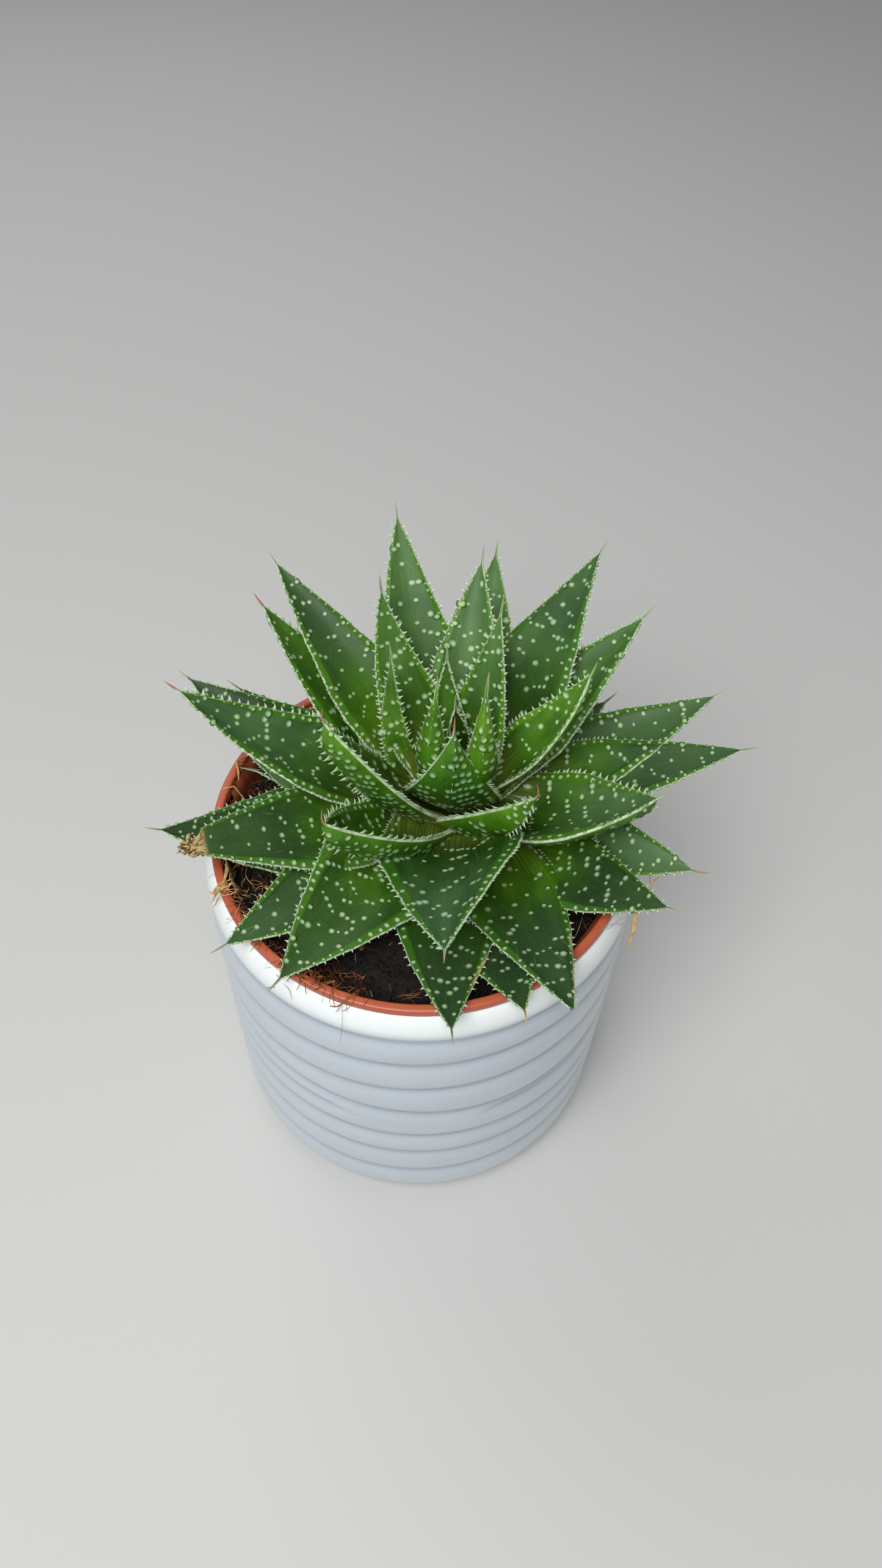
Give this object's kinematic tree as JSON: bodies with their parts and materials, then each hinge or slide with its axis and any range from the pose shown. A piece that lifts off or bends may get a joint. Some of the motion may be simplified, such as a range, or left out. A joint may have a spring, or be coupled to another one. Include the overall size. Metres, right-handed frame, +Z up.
{
  "type": "potted lace aloe",
  "caption": "Lace aloe rosette of thick, pale-spotted, toothed leaves in peat, in a terracotta-coloured nursery pot that hangs by its rim in a white glazed cover pot.",
  "frame": {"origin": "on the axis of the pots, at the flat underside of the cover pot", "axes": "+Z up along the axis of the pots; -Y towards the viewer of the picture; +X to the viewer's right"},
  "size_m": [0.1714, 0.1491, 0.1897],
  "materials": {
    "glazed_ceramic": "gloss",
    "terracotta_plastic": "satin",
    "peat": "matte",
    "stem_tissue": "matte",
    "leaf_tissue": "satin"
  },
  "bodies": {
    "root": {"cover_pot": "glazed_ceramic", "grow_pot": "terracotta_plastic", "soil": "peat", "stem": "stem_tissue", "leaf_01": "leaf_tissue", "leaf_02": "leaf_tissue", "leaf_03": "leaf_tissue", "leaf_04": "leaf_tissue", "leaf_05": "leaf_tissue", "leaf_06": "leaf_tissue", "leaf_07": "leaf_tissue", "leaf_08": "leaf_tissue", "leaf_09": "leaf_tissue", "leaf_10": "leaf_tissue", "leaf_11": "leaf_tissue", "leaf_12": "leaf_tissue", "leaf_13": "leaf_tissue", "leaf_14": "leaf_tissue", "leaf_15": "leaf_tissue", "leaf_16": "leaf_tissue", "leaf_17": "leaf_tissue", "leaf_18": "leaf_tissue", "leaf_19": "leaf_tissue", "leaf_20": "leaf_tissue", "leaf_21": "leaf_tissue", "leaf_22": "leaf_tissue", "leaf_23": "leaf_tissue", "leaf_24": "leaf_tissue", "leaf_25": "leaf_tissue", "leaf_26": "leaf_tissue", "leaf_27": "leaf_tissue", "leaf_28": "leaf_tissue", "leaf_29": "leaf_tissue", "leaf_30": "leaf_tissue", "leaf_31": "leaf_tissue", "leaf_32": "leaf_tissue", "leaf_33": "leaf_tissue", "leaf_34": "leaf_tissue", "leaf_35": "leaf_tissue", "leaf_36": "leaf_tissue", "leaf_37": "leaf_tissue", "leaf_38": "leaf_tissue", "leaf_39": "leaf_tissue", "leaf_40": "leaf_tissue", "leaf_41": "leaf_tissue", "leaf_42": "leaf_tissue"}
  },
  "joints": []
}
